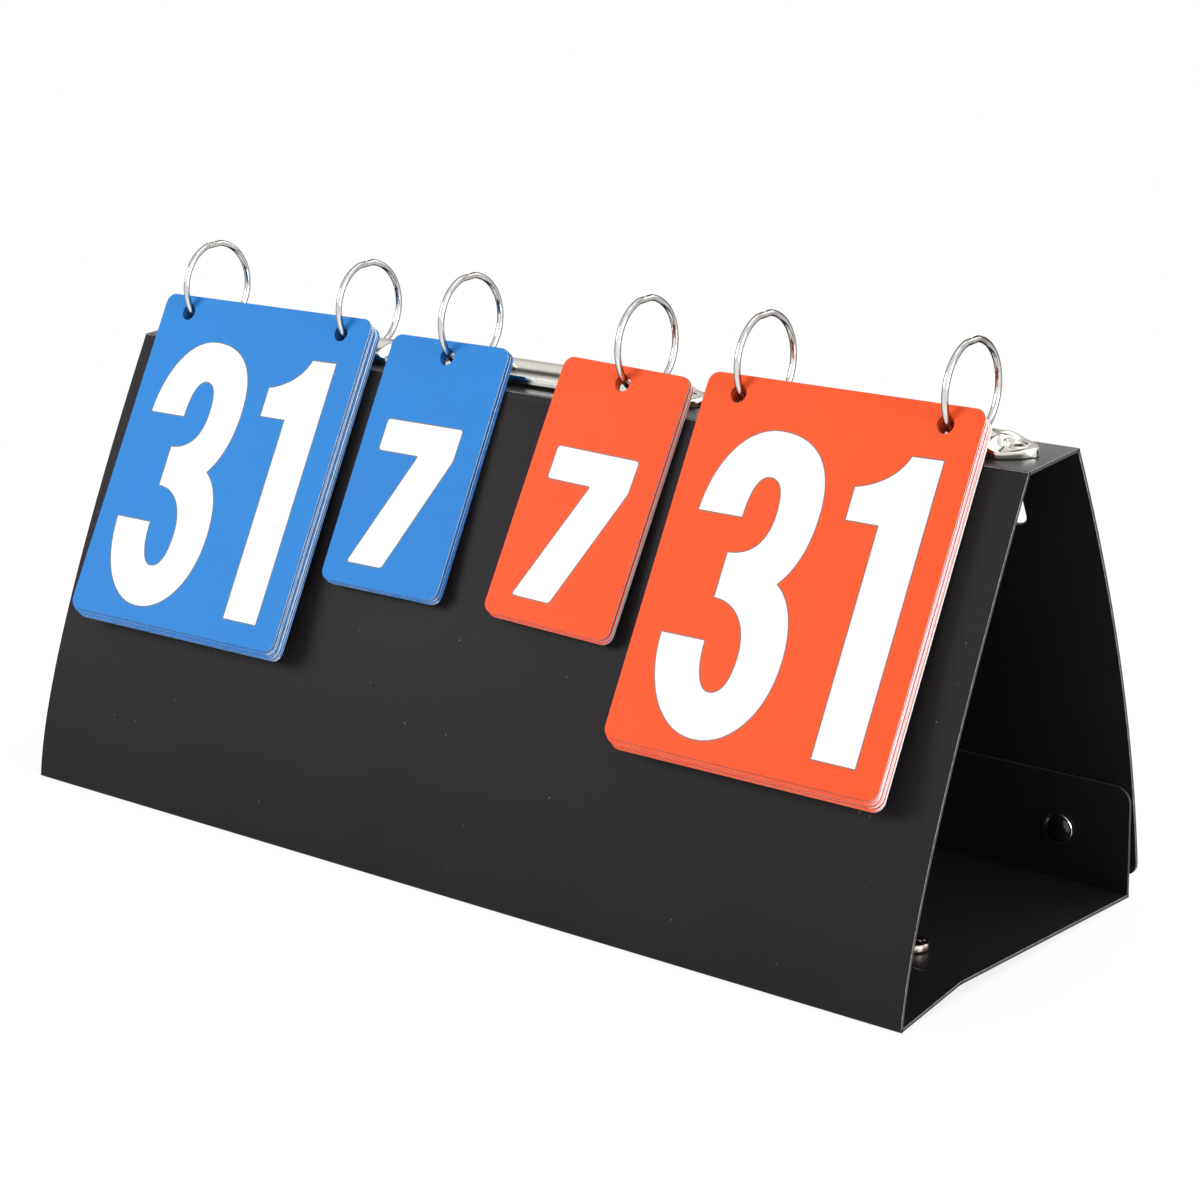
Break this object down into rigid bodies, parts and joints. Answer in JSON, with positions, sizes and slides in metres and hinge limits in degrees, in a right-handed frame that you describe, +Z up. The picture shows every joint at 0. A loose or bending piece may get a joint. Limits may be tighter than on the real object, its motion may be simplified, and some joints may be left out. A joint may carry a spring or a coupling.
{
  "type": "portable scoreboard",
  "caption": "Creased plastic sheet that stands as a tent, with numbered flip leaves hung on ring mechanisms along its spine.",
  "frame": {"origin": "middle of the footprint, on the surface it stands on", "axes": "+X along the board to the right of someone reading the score, -Y towards the reader, +Z up"},
  "size_m": [0.396, 0.1528, 0.2029],
  "materials": {
    "sheet": "charcoal polypropylene sheet, satin outside",
    "chrome": "bright nickel plate",
    "leaf_steel": "plated steel strip",
    "blue_card": "printed plastic card, low gloss",
    "red_card": "printed plastic card, low gloss",
    "black_cap": "black lacquered snap cap",
    "snap_metal": "plated snap"
  },
  "bodies": {
    "spine": {"spine_strip": "sheet", "left_cover_plate": "chrome", "middle_cover_plate": "chrome", "right_cover_plate": "chrome", "left_left_eyelet": "chrome", "left_right_eyelet": "chrome", "middle_left_eyelet": "chrome", "middle_right_eyelet": "chrome", "right_left_eyelet": "chrome", "right_right_eyelet": "chrome"},
    "front_cover": {"front_panel": "sheet"},
    "back_cover": {"back_panel": "sheet", "left_stud_cap": "black_cap", "right_stud_cap": "black_cap", "left_stud": "snap_metal", "right_stud": "snap_metal"},
    "fore_edge": {"fore_edge_strip": "sheet"},
    "base": {"base_strip": "sheet", "left_base_cap": "snap_metal", "right_base_cap": "snap_metal", "left_base_socket": "snap_metal", "right_base_socket": "snap_metal"},
    "flap": {"snap_flap": "sheet", "left_flap_cap": "black_cap", "right_flap_cap": "black_cap", "left_flap_socket": "snap_metal", "right_flap_socket": "snap_metal"},
    "left_front_jaw": {"left_front_leaf": "leaf_steel", "left_left_front_half_ring": "chrome", "left_right_front_half_ring": "chrome"},
    "left_rear_jaw": {"left_rear_leaf": "leaf_steel", "left_left_rear_half_ring": "chrome", "left_right_rear_half_ring": "chrome"},
    "middle_front_jaw": {"middle_front_leaf": "leaf_steel", "middle_left_front_half_ring": "chrome", "middle_right_front_half_ring": "chrome"},
    "middle_rear_jaw": {"middle_rear_leaf": "leaf_steel", "middle_left_rear_half_ring": "chrome", "middle_right_rear_half_ring": "chrome"},
    "right_front_jaw": {"right_front_leaf": "leaf_steel", "right_left_front_half_ring": "chrome", "right_right_front_half_ring": "chrome"},
    "right_rear_jaw": {"right_rear_leaf": "leaf_steel", "right_left_rear_half_ring": "chrome", "right_right_rear_half_ring": "chrome"},
    "blue_points_pack": {"blue_points_leaves_1": "blue_card", "blue_points_leaves_2": "blue_card", "blue_points_leaves_3": "blue_card"},
    "blue_points_front_card": {"blue_points_card": "blue_card"},
    "blue_sets_pack": {"blue_sets_leaves_1": "blue_card", "blue_sets_leaves_2": "blue_card"},
    "blue_sets_front_card": {"blue_sets_card": "blue_card"},
    "red_sets_pack": {"red_sets_leaves_1": "red_card", "red_sets_leaves_2": "red_card"},
    "red_sets_front_card": {"red_sets_card": "red_card"},
    "red_points_pack": {"red_points_leaves_1": "red_card", "red_points_leaves_2": "red_card", "red_points_leaves_3": "red_card"},
    "red_points_front_card": {"red_points_card": "red_card"}
  },
  "joints": [
    {"name": "front_fold", "type": "hinge", "parent": "spine", "child": "front_cover", "pos_m": [0, -0.01108, 0.165], "axis": [-1, 0, 0], "range_deg": [0, 150]},
    {"name": "back_fold", "type": "hinge", "parent": "spine", "child": "back_cover", "pos_m": [0, 0.01984, 0.16716], "axis": [1, 0, 0], "range_deg": [0, 155]},
    {"name": "foot_unroll", "type": "hinge", "parent": "front_cover", "child": "fore_edge", "pos_m": [0, -0.07585, 0.00059], "axis": [-1, 0, 0], "range_deg": [0, 103]},
    {"name": "ridge_unroll", "type": "hinge", "parent": "fore_edge", "child": "base", "pos_m": [0, -0.04154, 0.00509], "axis": [1, 0, 0], "range_deg": [0, 9.8]},
    {"name": "flap_unroll", "type": "hinge", "parent": "base", "child": "flap", "pos_m": [0, 0.06934, 0.00062], "axis": [-1, 0, 0], "range_deg": [0, 94]},
    {"name": "left_ring_open", "type": "hinge", "parent": "spine", "child": "left_front_jaw", "pos_m": [-0.132, -0.00462, 0.16866], "axis": [-1, 0, 0], "range_deg": [-11, 0]},
    {"name": "left_rear_jaw_open", "type": "hinge", "parent": "spine", "child": "left_rear_jaw", "pos_m": [-0.132, 0.01293, 0.16989], "axis": [-1, 0, 0], "range_deg": [0, 11]},
    {"name": "middle_ring_open", "type": "hinge", "parent": "spine", "child": "middle_front_jaw", "pos_m": [-0.002, -0.00462, 0.16866], "axis": [-1, 0, 0], "range_deg": [-11, 0]},
    {"name": "middle_rear_jaw_open", "type": "hinge", "parent": "spine", "child": "middle_rear_jaw", "pos_m": [-0.002, 0.01293, 0.16989], "axis": [-1, 0, 0], "range_deg": [0, 11]},
    {"name": "right_ring_open", "type": "hinge", "parent": "spine", "child": "right_front_jaw", "pos_m": [0.128, -0.00462, 0.16866], "axis": [-1, 0, 0], "range_deg": [-11, 0]},
    {"name": "right_rear_jaw_open", "type": "hinge", "parent": "spine", "child": "right_rear_jaw", "pos_m": [0.128, 0.01293, 0.16989], "axis": [-1, 0, 0], "range_deg": [0, 11]},
    {"name": "blue_points_swing", "type": "hinge", "parent": "spine", "child": "blue_points_pack", "pos_m": [-0.132, 0.00303, 0.18533], "axis": [-1, 0, 0], "range_deg": [0, 150]},
    {"name": "blue_sets_swing", "type": "hinge", "parent": "spine", "child": "blue_sets_pack", "pos_m": [-0.042, 0.00303, 0.18533], "axis": [-1, 0, 0], "range_deg": [0, 150]},
    {"name": "red_sets_swing", "type": "hinge", "parent": "spine", "child": "red_sets_pack", "pos_m": [0.038, 0.00303, 0.18533], "axis": [-1, 0, 0], "range_deg": [0, 150]},
    {"name": "red_points_swing", "type": "hinge", "parent": "spine", "child": "red_points_pack", "pos_m": [0.128, 0.00303, 0.18533], "axis": [-1, 0, 0], "range_deg": [0, 150]},
    {"name": "blue_points_flip", "type": "hinge", "parent": "blue_points_pack", "child": "blue_points_front_card", "pos_m": [-0.132, 0.00303, 0.18533], "axis": [1, 0, 0], "range_deg": [-255, 0]},
    {"name": "blue_sets_flip", "type": "hinge", "parent": "blue_sets_pack", "child": "blue_sets_front_card", "pos_m": [-0.042, 0.00303, 0.18533], "axis": [1, 0, 0], "range_deg": [-255, 0]},
    {"name": "red_sets_flip", "type": "hinge", "parent": "red_sets_pack", "child": "red_sets_front_card", "pos_m": [0.038, 0.00303, 0.18533], "axis": [1, 0, 0], "range_deg": [-255, 0]},
    {"name": "red_points_flip", "type": "hinge", "parent": "red_points_pack", "child": "red_points_front_card", "pos_m": [0.128, 0.00303, 0.18533], "axis": [1, 0, 0], "range_deg": [-255, 0]}
  ],
  "couplings": [
    {"joint": "foot_unroll", "follows": "back_fold", "ratio": 0.6645},
    {"joint": "ridge_unroll", "follows": "back_fold", "ratio": 0.0632},
    {"joint": "flap_unroll", "follows": "back_fold", "ratio": 0.6064},
    {"joint": "left_rear_jaw_open", "follows": "left_ring_open", "ratio": -1},
    {"joint": "middle_rear_jaw_open", "follows": "middle_ring_open", "ratio": -1},
    {"joint": "right_rear_jaw_open", "follows": "right_ring_open", "ratio": -1},
    {"joint": "blue_points_swing", "follows": "front_fold", "ratio": 1},
    {"joint": "blue_sets_swing", "follows": "front_fold", "ratio": 1},
    {"joint": "red_sets_swing", "follows": "front_fold", "ratio": 1},
    {"joint": "red_points_swing", "follows": "front_fold", "ratio": 1}
  ]
}
